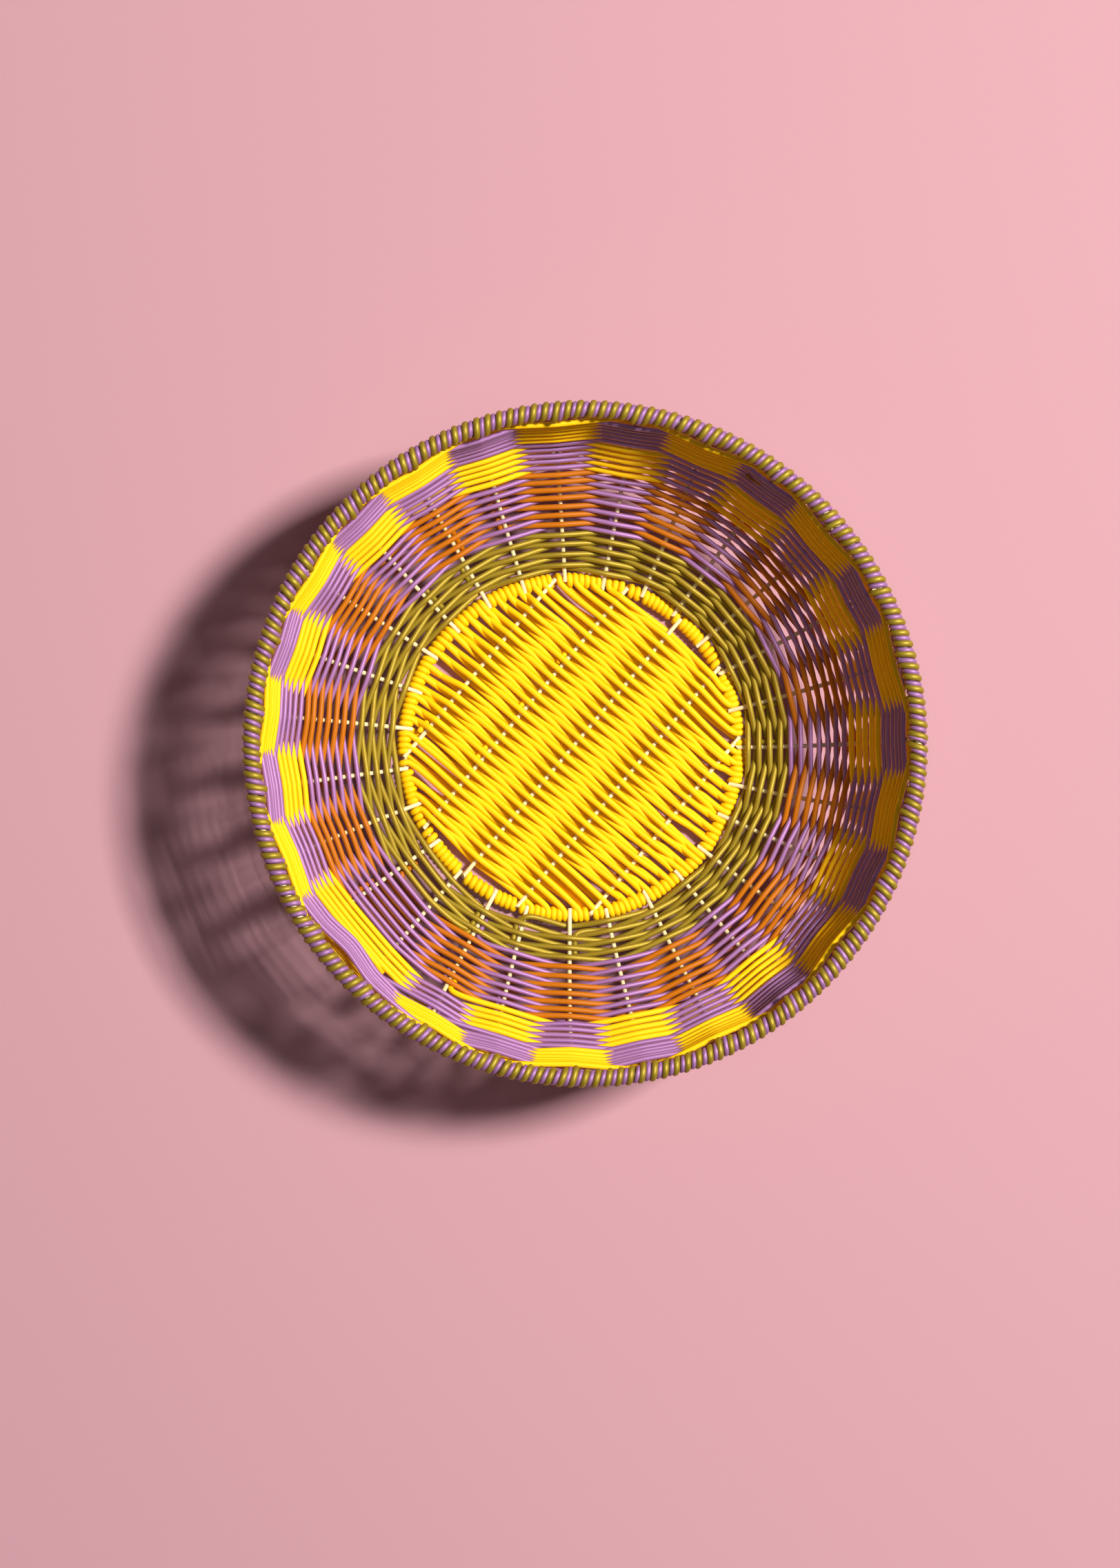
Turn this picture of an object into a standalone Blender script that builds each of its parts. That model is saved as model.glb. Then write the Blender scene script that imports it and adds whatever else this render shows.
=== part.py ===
"""A woven bowl, in metres, +Z up, with its origin under the middle of its base.

The frame is wire: a base ring with five parallel rods across it, ribs that curve up and out
from the base ring, and a rim ring at their tips. Coloured plastic cord is woven on it. One cord
covers the base in rows, two cords climb the wall together, in front of one rib and behind the
next, and the two rings are wrapped.
"""

import math

import bmesh
import bpy
from mathutils import Matrix, Vector

# Overall sizes. The outside diameter is measured over the rim wrap.
OUTSIDE_DIAMETER = 0.300
BASE_RING_DIAMETER = 0.1554
WALL_FOOT_SLOPE = math.radians(17)
WALL_TOP_SLOPE = math.radians(90)

# Wires, all round
BASE_RING_WIRE = 0.0022
ROD_WIRE = 0.0020
RIB_WIRE = 0.0020
RIM_RING_WIRE = 0.0030

# Cords. The wall cords are drawn thinner than the real 2.2 to 2.6 mm, so that they cross clear.
BASE_WRAP_CORD = 0.0026
RIM_WRAP_CORD = 0.0025
WALL_CORD = 0.0020
BASE_CORD = 0.0022

# The gap between welded wires, and between a cord and what it passes
WELD_GAP = 0.0003
CORD_GAP = 0.00025

# The base: rods run at this angle to +X, and the cord's rows run square across them
ROD_ANGLE = math.radians(49.7)
ROD_COUNT = 5
ROD_SPACING = 0.0282
ROD_TIP = 0.0006
BASE_ROW_PITCH = 0.00259

# The ribs were spaced by eye and lean a little: the direction of each at its foot and at its top
RIB_FOOT_DEGREES = (
    0.0, 13.2, 26.4, 39.1, 52.6, 65.3, 79.3, 92.6, 107.1,
    120.6, 134.7, 147.0, 160.5, 173.7, 187.4, 200.3, 214.9, 228.0,
    242.0, 254.2, 269.1, 281.7, 296.4, 309.8, 321.9, 335.5, 347.0,
)
RIB_TOP_DEGREES = (
    1.0, 15.3, 28.1, 41.5, 54.8, 68.4, 81.1, 95.6, 109.0,
    122.3, 135.6, 148.7, 161.8, 175.0, 187.9, 201.2, 214.4, 227.3,
    240.5, 253.6, 267.6, 280.8, 294.5, 308.5, 321.2, 334.6, 348.0,
)
RIB_COUNT = len(RIB_FOOT_DEGREES)
RIB_TOP_TIP = 0.0012

# How far inside the base ring's middle a foot ends, and how far where a rod's end is this close
RIB_FOOT_TIP = 0.0032
RIB_SHORT_TIP = 0.0006
ROD_ROOM = 0.0084
RIB_FACETS = 6

# The wall cords start at one rib, and pass two neighbouring ribs on the same side: with an odd
# number of ribs, that keeps each cord in front of the same ribs on every turn. The lowest two
# start a few ribs later.
FIRST_RIB = 18
PAIRED_RIB = 17
LATE_RIBS = (1, 3)
LEAD_SHARE = 0.35

# The cords lie level, and climb to the next turn from one rib on, over a few ribs. A course takes
# up this much of the wall, and the share by which the lowest courses lie wider apart.
CLIMB_RIB = 16
CLIMB_RIBS = 5
COURSE_ROOM = 0.0024
SPREAD_SHARE = 0.06

# Facets: columns round a ring, and sides of a section
RING_COLUMNS = 48
WIRE_SIDES = 6
RIB_SIDES = 5
CORD_SIDES = 3
BORE_SIDES = 4
WRAP_SIDES = 8
CUT_OVERRUN = 0.0010
SHARP_ANGLE = math.radians(60)

# Colours and roughness of the finishes
COAT_ROUGHNESS = 0.45
CORD_ROUGHNESS = 0.35
CREAM = (0.86, 0.78, 0.48)
YELLOW = (1.0, 0.62, 0.0)
ORANGE = (0.70, 0.17, 0.003)
LILAC = (0.44, 0.17, 0.51)
OLIVE = (0.37, 0.29, 0.02)

# The bands of the wall, from the base up: how far up the wall's turns each one ends, and its two
# cords, the one in front of the even ribs and then the one in front of the odd ribs.
BAND_TOP_SHARES = (0.18, 0.50, 0.73, 1.00)
BAND_CORDS = (
    (("olive_cord_a", OLIVE), ("olive_cord_b", OLIVE)),
    (("middle_lilac_cord", LILAC), ("middle_orange_cord", ORANGE)),
    (("upper_yellow_cord", YELLOW), ("upper_lilac_cord", LILAC)),
    (("top_lilac_cord", LILAC), ("top_yellow_cord", YELLOW)),
)

# Worked out from the sizes above
BASE_RING_RADIUS = BASE_RING_DIAMETER / 2
BASE_WRAP_RADIUS = BASE_RING_WIRE / 2 + BASE_WRAP_CORD
BASE_RING_HEIGHT = BASE_WRAP_RADIUS
ROD_HEIGHT = BASE_RING_HEIGHT + (BASE_RING_WIRE + ROD_WIRE) / 2 + WELD_GAP

RIM_WRAP_RADIUS = RIM_RING_WIRE / 2 + RIM_WRAP_CORD
RIM_RING_RADIUS = OUTSIDE_DIAMETER / 2 - RIM_WRAP_RADIUS

HALF_BEND = (WALL_TOP_SLOPE - WALL_FOOT_SLOPE) / RIB_FACETS / 2
RIB_FOOT_SLOPE = WALL_FOOT_SLOPE + HALF_BEND
RIB_FOOT_SEAT = (BASE_RING_WIRE + RIB_WIRE) / 2 + WELD_GAP
RIB_FOOT_HEIGHT = BASE_RING_HEIGHT + RIB_FOOT_SEAT / math.cos(RIB_FOOT_SLOPE)
RIB_TOP_SLOPE = WALL_TOP_SLOPE - HALF_BEND
RIB_TOP_SEAT = (RIM_RING_WIRE + RIB_WIRE) / 2 + WELD_GAP
RIB_TOP_RADIUS = RIM_RING_RADIUS - RIB_TOP_SEAT / math.sin(RIB_TOP_SLOPE)
WALL_CURVE_RADIUS = (RIB_TOP_RADIUS - BASE_RING_RADIUS) / (
    math.sin(WALL_TOP_SLOPE) - math.sin(WALL_FOOT_SLOPE)
)
WALL_LENGTH = WALL_CURVE_RADIUS * (WALL_TOP_SLOPE - WALL_FOOT_SLOPE)
RIM_RING_HEIGHT = RIB_FOOT_HEIGHT + WALL_CURVE_RADIUS * (
    math.cos(WALL_FOOT_SLOPE) - math.cos(WALL_TOP_SLOPE)
)

# The cord's distance from a rib's middle, and the stretch of wall between the two wraps
CORD_SIDESTEP = (RIB_WIRE + WALL_CORD) / 2 + CORD_GAP
CORD_CLEARANCE = WALL_CORD / 2 + CORD_GAP
WRAP_CORNER = math.cos(math.pi / WRAP_SIDES)
WOVEN_START = BASE_WRAP_RADIUS / WRAP_CORNER + CORD_CLEARANCE
WOVEN_END = WALL_LENGTH - RIM_WRAP_RADIUS / WRAP_CORNER - CORD_CLEARANCE
WALL_TURNS = round((WOVEN_END - WOVEN_START) / (2 * COURSE_ROOM))
TOP_COURSE = 2 * WALL_TURNS - 1 + 2 / CLIMB_RIBS

BASE_ROW_REACH = BASE_RING_RADIUS - BASE_WRAP_RADIUS - CORD_GAP - BASE_CORD
ROD_SIDESTEP = (ROD_WIRE + BASE_CORD) / 2 + CORD_GAP

# How far in from a rod's tip its slot runs, to leave the wrap where the rod crosses it aslant
ROD_SLOT_DEPTH = 4 * BASE_WRAP_RADIUS


def clear_scene():
    for thing in list(bpy.data.objects):
        bpy.data.objects.remove(thing, do_unlink=True)


def finish(name, colour, roughness):
    """A material of one plain colour. Both the coat and the cords are plastic, so none is metal."""
    material = bpy.data.materials.new(name)
    material.use_nodes = True
    shader = material.node_tree.nodes["Principled BSDF"]
    shader.inputs["Base Color"].default_value = (*colour, 1)
    shader.inputs["Roughness"].default_value = roughness
    shader.inputs["Metallic"].default_value = 0
    material.diffuse_color = (*colour, 1)
    return material


def place(name, data, material):
    """An object in the scene at the origin, with its material."""
    thing = bpy.data.objects.new(name, data)
    if material:
        data.materials.append(material)
    bpy.context.scene.collection.objects.link(thing)
    return thing


def hide_helper(helper):
    helper.hide_render = True
    helper.display_type = "WIRE"


def polyline(curve, points, closed):
    spline = curve.splines.new("POLY")
    spline.points.add(len(points) - 1)
    for slot, point in zip(spline.points, points):
        slot.co = (*point, 1)
    spline.use_cyclic_u = closed


def section(sides):
    """A polygon with unit radius, which a tube's curve sweeps along its path."""
    name = f"section_{sides}"
    if name not in bpy.data.objects:
        curve = bpy.data.curves.new(name, "CURVE")
        steps = (-2 * math.pi * step / sides for step in range(sides))
        polyline(curve, [Vector((math.cos(a), math.sin(a), 0)) for a in steps], True)
        hide_helper(place(name, curve, None))
    return bpy.data.objects[name]


def tube(name, points, diameter, material, sides=WIRE_SIDES, closed=False):
    """A wire or a cord along the points, with flat ends."""
    curve = bpy.data.curves.new(name, "CURVE")
    curve.dimensions = "3D"
    curve.twist_mode = "Z_UP"
    polyline(curve, points, closed)
    for slot in curve.splines[0].points:
        slot.radius = diameter / 2
    curve.bevel_mode = "OBJECT"
    curve.bevel_object = section(sides)
    curve.use_fill_caps = True
    return place(name, curve, material)


def ring_points(radius, height):
    turns = (2 * math.pi * step / RING_COLUMNS for step in range(RING_COLUMNS))
    return [Vector((radius * math.cos(a), radius * math.sin(a), height)) for a in turns]


def turned_ring(name, radius, height, section_radius, sides):
    """A closed ring about the Z axis, whose section is a polygon that stands on a flat side."""
    shape = bmesh.new()
    stand = (
        Matrix.Translation((radius, 0, height))
        @ Matrix.Rotation(math.pi / 2, 4, "X")
        @ Matrix.Rotation(math.pi / sides, 4, "Z")
    )
    corner = section_radius / math.cos(math.pi / sides)
    bmesh.ops.create_circle(shape, segments=sides, radius=corner, matrix=stand)
    bmesh.ops.spin(
        shape,
        geom=shape.verts[:] + shape.edges[:],
        axis=(0, 0, 1),
        cent=(0, 0, 0),
        angle=2 * math.pi,
        steps=RING_COLUMNS,
        use_merge=True,
    )
    bmesh.ops.recalc_face_normals(shape, faces=shape.faces)
    mesh = bpy.data.meshes.new(name)
    shape.to_mesh(mesh)
    shape.free()
    mesh.shade_smooth()
    mesh.set_sharp_from_angle(angle=SHARP_ANGLE)
    return mesh


def slots_cutter(name, slots):
    """One cutter of many boxes. Each slot is a start, an end, a width and a lowest and highest Z."""
    shape = bmesh.new()
    for start, end, width, low, high in slots:
        along = end - start
        middle = (start + end) / 2
        stand = (
            Matrix.Translation((middle.x, middle.y, (low + high) / 2))
            @ Matrix.Rotation(math.atan2(along.y, along.x), 4, "Z")
            @ Matrix.Diagonal((along.length, width, high - low, 1))
        )
        bmesh.ops.create_cube(shape, size=1, matrix=stand)
    mesh = bpy.data.meshes.new(name)
    shape.to_mesh(mesh)
    shape.free()
    cutter = place(name, mesh, None)
    hide_helper(cutter)
    return cutter


def cut(body, cutter):
    difference = body.modifiers.new(cutter.name, "BOOLEAN")
    difference.operation = "DIFFERENCE"
    difference.object = cutter


def wrap(name, radius, height, wrap_radius, wire, slot_sets, material):
    """The wound cord round a ring, drawn as a sleeve that is open where wire ends come through."""
    body = place(name, turned_ring(name, radius, height, wrap_radius, WRAP_SIDES), material)
    bore_name = name + "_bore"
    bore_mesh = turned_ring(bore_name, radius, height, wire / 2 + WELD_GAP, BORE_SIDES)
    bore = place(bore_name, bore_mesh, None)
    hide_helper(bore)
    cut(body, bore)
    for set_name, slots in slot_sets:
        cut(body, slots_cutter(f"{name}_{set_name}", slots))
    return body


def radial(radius, degrees):
    angle = math.radians(degrees)
    return Vector((radius * math.cos(angle), radius * math.sin(angle), 0))


def rib_direction(rib, along):
    """The direction of a rib, in radians, at a distance along the wall from its foot."""
    foot = RIB_FOOT_DEGREES[rib]
    top = RIB_TOP_DEGREES[rib]
    return math.radians(foot + (top - foot) * along / WALL_LENGTH)


def wall_arc(along):
    """Radius and height of the wall's arc, at a distance along it from the ribs' feet."""
    slope = WALL_FOOT_SLOPE + along / WALL_CURVE_RADIUS
    out = WALL_CURVE_RADIUS * (math.sin(slope) - math.sin(WALL_FOOT_SLOPE))
    up = WALL_CURVE_RADIUS * (math.cos(WALL_FOOT_SLOPE) - math.cos(slope))
    return Vector((BASE_RING_RADIUS + out, RIB_FOOT_HEIGHT + up))


def wall_point(along, direction, sidestep=0.0):
    """A point up the wall, on the ribs' facets, and at a sidestep from them into the bowl."""
    facet_length = WALL_LENGTH / RIB_FACETS
    facet = min(max(math.floor(along / facet_length), 0), RIB_FACETS - 1)
    low = wall_arc(facet * facet_length)
    high = wall_arc((facet + 1) * facet_length)
    rise = (high - low).normalized()
    radius, height = low.lerp(high, along / facet_length - facet)
    radius -= sidestep * rise.y
    height += sidestep * rise.x
    return Vector((radius * math.cos(direction), radius * math.sin(direction), height))


def rod_offset(rod):
    return (rod - (ROD_COUNT - 1) / 2) * ROD_SPACING


def half_chord(radius, offset):
    """Half the width of a circle at an offset from its middle."""
    return math.sqrt(radius**2 - offset**2)


def rod_half_length(offset):
    return half_chord(BASE_RING_RADIUS, offset) + ROD_TIP


def base_point(across, along, height):
    """A point of the base: across the rods, along them, and up."""
    point = Matrix.Rotation(ROD_ANGLE, 3, "Z") @ Vector((along, -across, 0))
    point.z = height
    return point


def foot_tip(rib):
    """A foot runs on past the base ring, but ends soon where a rod's end lies beside it."""
    foot = radial(BASE_RING_RADIUS, RIB_FOOT_DEGREES[rib])
    offsets = [rod_offset(rod) for rod in range(ROD_COUNT)]
    chords = [(x, half_chord(BASE_RING_RADIUS, x)) for x in offsets]
    ends = [base_point(x, side * chord, 0) for x, chord in chords for side in (-1, 1)]
    nearest = min((end - foot).length for end in ends)
    return RIB_SHORT_TIP if nearest < ROD_ROOM else RIB_FOOT_TIP


def rib_points(rib):
    """The rib bends where the wall's facets meet, and its tips run past the two rings."""
    bends = (WALL_LENGTH * facet / RIB_FACETS for facet in range(1, RIB_FACETS))
    alongs = (-foot_tip(rib), *bends, WALL_LENGTH + RIB_TOP_TIP)
    return [wall_point(along, rib_direction(rib, along)) for along in alongs]


def base_row_height(row, rod):
    """A row passes over every other rod, and its neighbours pass over the rods between."""
    return ROD_HEIGHT + (ROD_SIDESTEP if (row + rod) % 2 == 0 else -ROD_SIDESTEP)


def base_row(row, along):
    """One row's points across the base, and its ends short of the ring's wrap."""
    end = half_chord(BASE_ROW_REACH, along)
    for rod in range(ROD_COUNT):
        if abs(end - abs(rod_offset(rod))) < ROD_SIDESTEP:
            end = abs(rod_offset(rod)) - ROD_SIDESTEP
    rods = [rod for rod in range(ROD_COUNT) if abs(rod_offset(rod)) < end]
    points = [base_point(rod_offset(rod), along, base_row_height(row, rod)) for rod in rods]
    first = base_point(-end, along, base_row_height(row, rods[0]))
    last = base_point(end, along, base_row_height(row, rods[-1]))
    return [first, *points, last]


def base_cord_points():
    """The base cord's one route, row after row, back and forth."""
    rows = int(BASE_ROW_REACH / BASE_ROW_PITCH)
    points = []
    for row in range(-rows, rows + 1):
        there = base_row(row, row * BASE_ROW_PITCH)
        points += there if row % 2 == 0 else there[::-1]
    return points


def station(rib):
    """Ribs are counted once each, but the paired rib counts with the one before it."""
    return rib if rib < PAIRED_RIB else rib - 1


def course_at(turns_below, step, phase):
    """Which course a cord has reached at a step: it lies level, but for one climb in each turn."""
    turn, ribs = divmod(step + FIRST_RIB - CLIMB_RIB, RIB_COUNT)
    climbed = turns_below + turn - 1 + min(ribs / CLIMB_RIBS, 1)
    return phase + 2 * max(climbed, 0)


def course_along(course):
    """How far along the wall a course lies: the lower ones lie a little wider apart."""
    share = course / TOP_COURSE
    share += SPREAD_SHARE * share * (1 - share)
    return WOVEN_START + (WOVEN_END - WOVEN_START) * share


def wall_cord_points(turns_below, turns, phase):
    """A cord that climbs two courses a turn, in front of every other rib and behind the rest."""
    points = []
    first_step = 0 if turns_below else LATE_RIBS[phase]
    for step in range(first_step, turns * RIB_COUNT):
        rib = (FIRST_RIB + step) % RIB_COUNT
        side = CORD_SIDESTEP if (station(rib) + phase) % 2 == 0 else -CORD_SIDESTEP
        along = course_along(course_at(turns_below, step, phase))
        points.append(wall_point(along, rib_direction(rib, along), side))
    lead = points[0].lerp(points[1], -LEAD_SHARE)
    tail = points[-1].lerp(points[-2], -LEAD_SHARE)
    return [lead, *points, tail]


def make_base(cream, yellow):
    ring = ring_points(BASE_RING_RADIUS, BASE_RING_HEIGHT)
    tube("base_ring", ring, BASE_RING_WIRE, cream, closed=True)
    for rod in range(ROD_COUNT):
        across = rod_offset(rod)
        reach = rod_half_length(across)
        ends = [base_point(across, side * reach, ROD_HEIGHT) for side in (-1, 1)]
        tube(f"base_rod_{rod + 1}", ends, ROD_WIRE, cream)
    tube("base_weave", base_cord_points(), BASE_CORD, yellow, sides=CORD_SIDES)


def rod_slots(low, high):
    """Where the ends of the rods lie on the base ring, between the wrap's turns."""
    slots = []
    for rod in range(ROD_COUNT):
        across = rod_offset(rod)
        reach = rod_half_length(across) + WELD_GAP
        for side in (-1, 1):
            start = base_point(across, side * reach, 0)
            end = base_point(across, side * (reach - ROD_SLOT_DEPTH), 0)
            slots.append((start, end, ROD_WIRE + 2 * WELD_GAP, low, high))
    return slots


def rib_slots(high):
    """Where the feet of the ribs lie on the base ring. A foot sinks as it runs on past the ring."""
    slots = []
    for rib, foot in enumerate(RIB_FOOT_DEGREES):
        tip = foot_tip(rib)
        underside = RIB_FOOT_HEIGHT - tip * math.sin(RIB_FOOT_SLOPE)
        low = underside - RIB_WIRE / 2 * math.cos(RIB_FOOT_SLOPE) - WELD_GAP
        inside = tip + RIB_WIRE / 2 * math.sin(RIB_FOOT_SLOPE) + WELD_GAP
        start = radial(BASE_RING_RADIUS - inside, foot)
        end = radial(BASE_RING_RADIUS + BASE_WRAP_RADIUS + CUT_OVERRUN, foot)
        slots.append((start, end, RIB_WIRE + 2 * WELD_GAP, low, high))
    return slots


def rim_wrap_slots():
    """Where the tips of the ribs stand against the inside of the rim ring."""
    low = RIM_RING_HEIGHT - RIM_WRAP_RADIUS - CUT_OVERRUN
    high = RIM_RING_HEIGHT + RIB_TOP_TIP + RIB_WIRE / 2 * math.cos(RIB_TOP_SLOPE) + WELD_GAP
    slots = []
    for top in RIB_TOP_DEGREES:
        start = radial(RIM_RING_RADIUS - RIM_WRAP_RADIUS - CUT_OVERRUN, top)
        end = radial(RIM_RING_RADIUS - RIM_RING_WIRE / 2, top)
        slots.append((start, end, RIB_WIRE + 2 * WELD_GAP, low, high))
    return slots


def make_wall(cream, cord_finishes):
    for rib in range(RIB_COUNT):
        tube(f"rib_{rib + 1:02d}", rib_points(rib), RIB_WIRE, cream, sides=RIB_SIDES)
    ring = ring_points(RIM_RING_RADIUS, RIM_RING_HEIGHT)
    tube("rim_ring", ring, RIM_RING_WIRE, cream, closed=True)
    turns_below = 0
    for top_share, cords in zip(BAND_TOP_SHARES, BAND_CORDS):
        turns = round(top_share * WALL_TURNS) - turns_below
        for phase, (name, colour) in enumerate(cords):
            points = wall_cord_points(turns_below, turns, phase)
            tube(name, points, WALL_CORD, cord_finishes[colour], sides=CORD_SIDES)
        turns_below += turns


def make_wraps(yellow, lilac):
    low = BASE_RING_HEIGHT + BASE_RING_WIRE / 2
    high = BASE_RING_HEIGHT + BASE_WRAP_RADIUS + CUT_OVERRUN
    wrap(
        "base_ring_wrap",
        BASE_RING_RADIUS,
        BASE_RING_HEIGHT,
        BASE_WRAP_RADIUS,
        BASE_RING_WIRE,
        (("rod_slots", rod_slots(low, high)), ("rib_slots", rib_slots(high))),
        yellow,
    )
    wrap(
        "rim_wrap",
        RIM_RING_RADIUS,
        RIM_RING_HEIGHT,
        RIM_WRAP_RADIUS,
        RIM_RING_WIRE,
        (("rib_slots", rim_wrap_slots()),),
        lilac,
    )


def main():
    clear_scene()
    cream = finish("cream powder coat", CREAM, COAT_ROUGHNESS)
    cord_finishes = {
        YELLOW: finish("yellow plastic cord", YELLOW, CORD_ROUGHNESS),
        ORANGE: finish("orange plastic cord", ORANGE, CORD_ROUGHNESS),
        LILAC: finish("lilac plastic cord", LILAC, CORD_ROUGHNESS),
        OLIVE: finish("olive plastic cord", OLIVE, CORD_ROUGHNESS),
    }
    make_base(cream, cord_finishes[YELLOW])
    make_wall(cream, cord_finishes)
    make_wraps(cord_finishes[YELLOW], cord_finishes[LILAC])


main()
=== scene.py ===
"""The woven bowl as it looks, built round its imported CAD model, in metres.

Every wire and every cord is a round tube that is carried along a path. The paths follow the same
rules as the model's own, with thicker cords: the wall cords pass before one rib and behind the next,
the base cord goes back and forth over the rods and round the base ring, and the two rim cords are
wound side by side.
"""

import bpy
import numpy as np
from mathutils import Matrix, Vector


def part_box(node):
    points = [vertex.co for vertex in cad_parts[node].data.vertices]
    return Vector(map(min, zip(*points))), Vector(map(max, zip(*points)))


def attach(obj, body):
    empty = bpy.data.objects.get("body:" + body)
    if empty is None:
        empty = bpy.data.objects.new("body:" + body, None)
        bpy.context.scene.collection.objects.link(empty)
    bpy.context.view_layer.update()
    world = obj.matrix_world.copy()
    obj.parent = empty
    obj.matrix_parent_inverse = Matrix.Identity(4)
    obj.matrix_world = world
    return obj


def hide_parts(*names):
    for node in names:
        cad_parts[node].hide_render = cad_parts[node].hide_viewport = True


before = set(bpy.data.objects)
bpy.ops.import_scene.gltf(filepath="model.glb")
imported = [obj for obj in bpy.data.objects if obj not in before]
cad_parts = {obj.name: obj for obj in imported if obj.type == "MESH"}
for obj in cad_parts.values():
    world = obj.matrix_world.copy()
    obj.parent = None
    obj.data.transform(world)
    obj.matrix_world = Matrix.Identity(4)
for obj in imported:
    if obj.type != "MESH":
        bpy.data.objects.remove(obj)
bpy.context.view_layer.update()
chance = np.random.default_rng(11)

UP = np.array([0.0, 0.0, 1.0])
TURN = 2 * np.pi

# Wires, as in the model
BASE_RING_WIRE = 0.0022
ROD_WIRE = 0.0020
RIB_WIRE = 0.0020
RIM_RING_WIRE = 0.0030
WELD_GAP = 0.0003

# Cords. The base cord and the olive rim cord look a little thicker than the rest in the photograph.
YELLOW_CORD = 0.00265
BASE_CORD = 0.0030
ORANGE_CORD = 0.0026
LILAC_CORD = 0.0023
OLIVE_CORD = 0.0026
RIM_LILAC_CORD = 0.0023
RIM_OLIVE_CORD = 0.0029

# The two rings, read from the sleeves that stand for their wraps
base_low, base_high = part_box("base_ring_wrap")
BASE_WRAP_RADIUS = (base_high.z - base_low.z) / 2
BASE_RING_HEIGHT = (base_high.z + base_low.z) / 2
BASE_RING_RADIUS = (base_high.x - base_low.x) / 2 - BASE_WRAP_RADIUS
rim_low, rim_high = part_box("rim_wrap")
RIM_WRAP_RADIUS = (rim_high.z - rim_low.z) / 2
RIM_RING_HEIGHT = (rim_high.z + rim_low.z) / 2
RIM_RING_RADIUS = (rim_high.x - rim_low.x) / 2 - RIM_WRAP_RADIUS

# The wall: an arc that starts at one slope on the base ring and ends at another inside the rim ring
FOOT_SLOPE = np.radians(17)
TOP_SLOPE = np.radians(90)
RIB_FOOT_HEIGHT = BASE_RING_HEIGHT + ((BASE_RING_WIRE + RIB_WIRE) / 2 + WELD_GAP) / np.cos(FOOT_SLOPE)
RIB_TOP_RADIUS = RIM_RING_RADIUS - ((RIM_RING_WIRE + RIB_WIRE) / 2 + WELD_GAP) / np.sin(TOP_SLOPE)
WALL_CURVE = (RIB_TOP_RADIUS - BASE_RING_RADIUS) / (np.sin(TOP_SLOPE) - np.sin(FOOT_SLOPE))
WALL_LENGTH = WALL_CURVE * (TOP_SLOPE - FOOT_SLOPE)

# The weave on the wall: two cords go round it together, two courses a turn. They lie level, and
# climb to the next turn over a few ribs. Each place is a little off its even spacing, by a random
# amount of about SIDE_WANDER square to the wall and COURSE_WANDER along it. PAIR_SLACK is how far
# the top lilac cord hangs off the wall between the two ribs that it passes together.
WALL_TURNS = 22
WOVEN_START = 0.0052
WOVEN_END = WALL_LENGTH - 0.0054
FIRST_RIB = 18
PAIRED_RIB = 17
CLIMB_RIB = 16
CLIMB_RIBS = 5
SPREAD_SHARE = 0.07
TOP_COURSE = 2 * WALL_TURNS - 1 + 2 / CLIMB_RIBS
SIDE_WANDER = 0.00008
COURSE_WANDER = 0.00020
PAIR_SLACK = 0.0022

# The base: rods at an angle to +X, and rows of cord square across them, that bow out at the ends.
# RING_STROKE is the step in degrees from one turn round the ring to the next, and rounding asks for
# STROKE_SHORTFALL of a stroke more room. A row joins the turns OVER_SHARE of a turn past the top of
# the ring where it lies over it, and UNDER_SHARE where it lies under.
ROD_ANGLE = np.radians(49.7)
ROD_COUNT = 5
ROD_SPACING = 0.0282
ROD_TIP = 0.0006
ROD_HEIGHT = BASE_RING_HEIGHT + (BASE_RING_WIRE + ROD_WIRE) / 2 + WELD_GAP
LAST_ROW = 27
ROW_PITCH = 0.00259
ROW_BOW = 0.0040
ROW_WANDER = 0.00012
ROW_CLEAR_OF_END = 0.0045
RING_STROKE = 2.0
STROKE_SHORTFALL = 0.1
OVER_SHARE = 0.06
UNDER_SHARE = 0.58

# The rim: turns of each cord, and how they swell round each rib's tip, on the inside of the ring
RIM_TURNS = 180
RIM_WANDER = 0.05
RIM_PRESS = 0.0001
TIP_SWELL = 0.0017
TIP_WIDTH = np.radians(1.25)
TIP_SIDE = np.radians(200)
TIP_EASE = 1.5

# Cord ends: how far along the wall each place of a tucked end lies from its course, how far beside
# a rod, and the circles that dome or cut an end
TUCKED_END = 0.0110
TUCKED_SHARES = np.array([1, 0.6, 0.22])
ROD_ASIDE = 0.0024
DOME_TURNS = np.array([0.45, 0.95, 1.35])
DOME_SHARE = 0.75
CUT_TILT_SHARES = (0.1, 0.9)

# The singed knot: its place, its loops and its tail. KNOT_DIRECTION and KNOT_TAIL_TURN are in
# degrees, and KNOT_LOOPS is a count of turns.
KNOT_DIRECTION = 58.5
KNOT_ALONG = 0.1037
KNOT_CORD = 0.0011
KNOT_SIDES = 8
KNOT_LOOPS = 2.6
KNOT_HALF_WIDTH = 0.0009
KNOT_HALF_HEIGHT = 0.0008
KNOT_LOW = 0.0030
KNOT_DEPTH = 0.0011
KNOT_SUNK = 0.0004
KNOT_TAIL_DROP = 0.0010
KNOT_TAIL_TURN = 2.6
KNOT_TAIL_HIGH = 0.0036
KNOT_TAIL_FALL = 0.0006

# Finishes. The pearl grain is drawn much coarser than real pearl flakes, so that it shows.
TONE_DRIFT = 0.012
PEARL_GRAIN = 0.0007
PEARL_DEPTH = 0.0001
DRAW_LINE = 0.0005
DRAW_LINE_DEPTH = 0.00012
COAT_DRIFT = 0.006
COAT_PEEL = 0.0008
COAT_PEEL_DEPTH = 0.00008

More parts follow.
